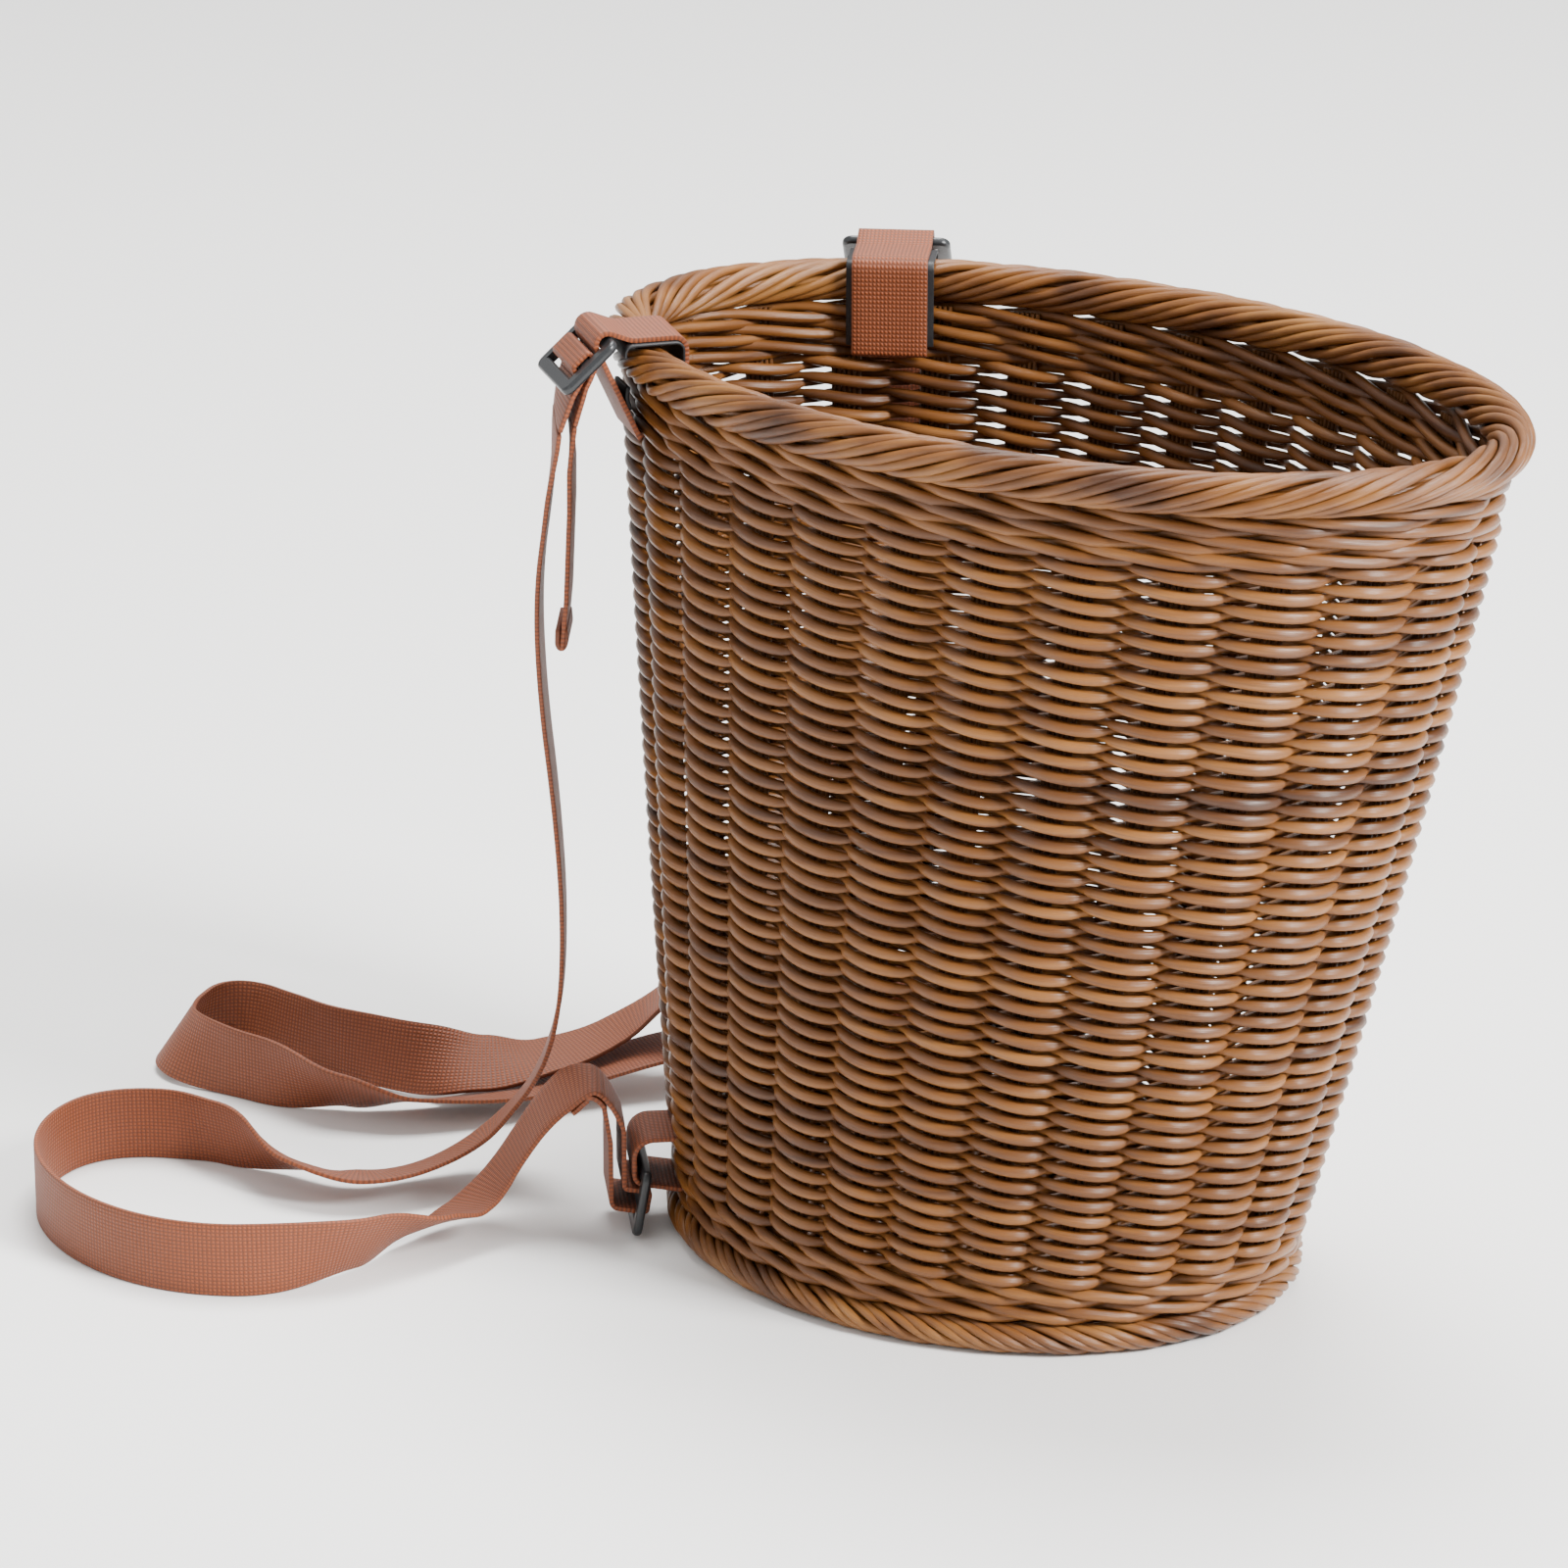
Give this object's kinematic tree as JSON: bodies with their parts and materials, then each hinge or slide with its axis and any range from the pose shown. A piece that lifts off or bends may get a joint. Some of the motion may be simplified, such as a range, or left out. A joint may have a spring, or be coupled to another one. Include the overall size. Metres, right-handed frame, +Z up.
{
  "type": "handlebar basket",
  "caption": "Tall woven basket for a handlebar or the back, oval and flared with rolled rim and foot borders, two webbing shoulder straps on three-bar slides.",
  "frame": {"origin": "on the floor, under the centre of the rim border's oval, which is the centre of the basket's bounding box", "axes": "+Z up out of the basket's mouth; +Y to the back, where both straps are fastened; +X to the right-hand strap"},
  "size_m": [0.3138, 0.5089, 0.3107],
  "materials": {
    "woven_strand": "semi-gloss extruded resin strand, tan to brown, fine lengthwise grain",
    "stake_rod": "semi-gloss resin rods",
    "webbing": "woven webbing tape, terracotta",
    "liner": "thin black protector strip",
    "buckle_plastic": "black moulded plastic"
  },
  "bodies": {
    "basket": {"foot_border": "woven_strand", "rim_border": "woven_strand", "lower_waling": "woven_strand", "upper_waling": "woven_strand", "body_weave_outer": "woven_strand", "body_weave_inner": "woven_strand", "base_weave": "woven_strand", "base_sticks": "stake_rod", "stake_01": "stake_rod", "stake_02": "stake_rod", "stake_03": "stake_rod", "stake_04": "stake_rod", "stake_05": "stake_rod", "stake_06": "stake_rod", "stake_07": "stake_rod", "stake_08": "stake_rod", "stake_09": "stake_rod", "stake_10": "stake_rod", "stake_11": "stake_rod", "stake_12": "stake_rod", "stake_13": "stake_rod", "stake_14": "stake_rod", "stake_15": "stake_rod", "stake_16": "stake_rod", "stake_17": "stake_rod", "stake_18": "stake_rod", "stake_19": "stake_rod", "stake_20": "stake_rod", "stake_21": "stake_rod", "stake_22": "stake_rod", "stake_23": "stake_rod", "stake_24": "stake_rod", "stake_25": "stake_rod", "stake_26": "stake_rod", "anchor_webbing_upper_left": "webbing", "anchor_webbing_lower_left": "webbing", "liner_left": "liner", "strap_left": "webbing", "strap_tail_left": "webbing", "anchor_webbing_upper_right": "webbing", "anchor_webbing_lower_right": "webbing", "liner_right": "liner", "strap_right": "webbing", "strap_tail_right": "webbing"},
    "upper_buckle_left": {"buckle_upper_left": "buckle_plastic", "strap_fold_upper_left": "webbing"},
    "lower_buckle_left": {"buckle_lower_left": "buckle_plastic", "strap_fold_lower_left": "webbing"},
    "upper_buckle_right": {"buckle_upper_right": "buckle_plastic", "strap_fold_upper_right": "webbing"},
    "lower_buckle_right": {"buckle_lower_right": "buckle_plastic", "strap_fold_lower_right": "webbing"}
  },
  "joints": [
    {"name": "upper_buckle_hinge_left", "type": "hinge", "parent": "basket", "child": "upper_buckle_left", "pos_m": [-0.07524, 0.12551, 0.3063], "axis": [0.5589, 0.8292, 0], "range_deg": [0, 50]},
    {"name": "lower_buckle_hinge_left", "type": "hinge", "parent": "basket", "child": "lower_buckle_left", "pos_m": [-0.06246, 0.12064, 0.0215], "axis": [0.6989, 0.7153, 0], "range_deg": [-4, 16]},
    {"name": "upper_buckle_hinge_right", "type": "hinge", "parent": "basket", "child": "upper_buckle_right", "pos_m": [0.07524, 0.12551, 0.3063], "axis": [0.5589, -0.8292, 0], "range_deg": [0, 50]},
    {"name": "lower_buckle_hinge_right", "type": "hinge", "parent": "basket", "child": "lower_buckle_right", "pos_m": [0.06246, 0.12064, 0.0215], "axis": [0.6989, -0.7153, 0], "range_deg": [-4, 16]}
  ]
}
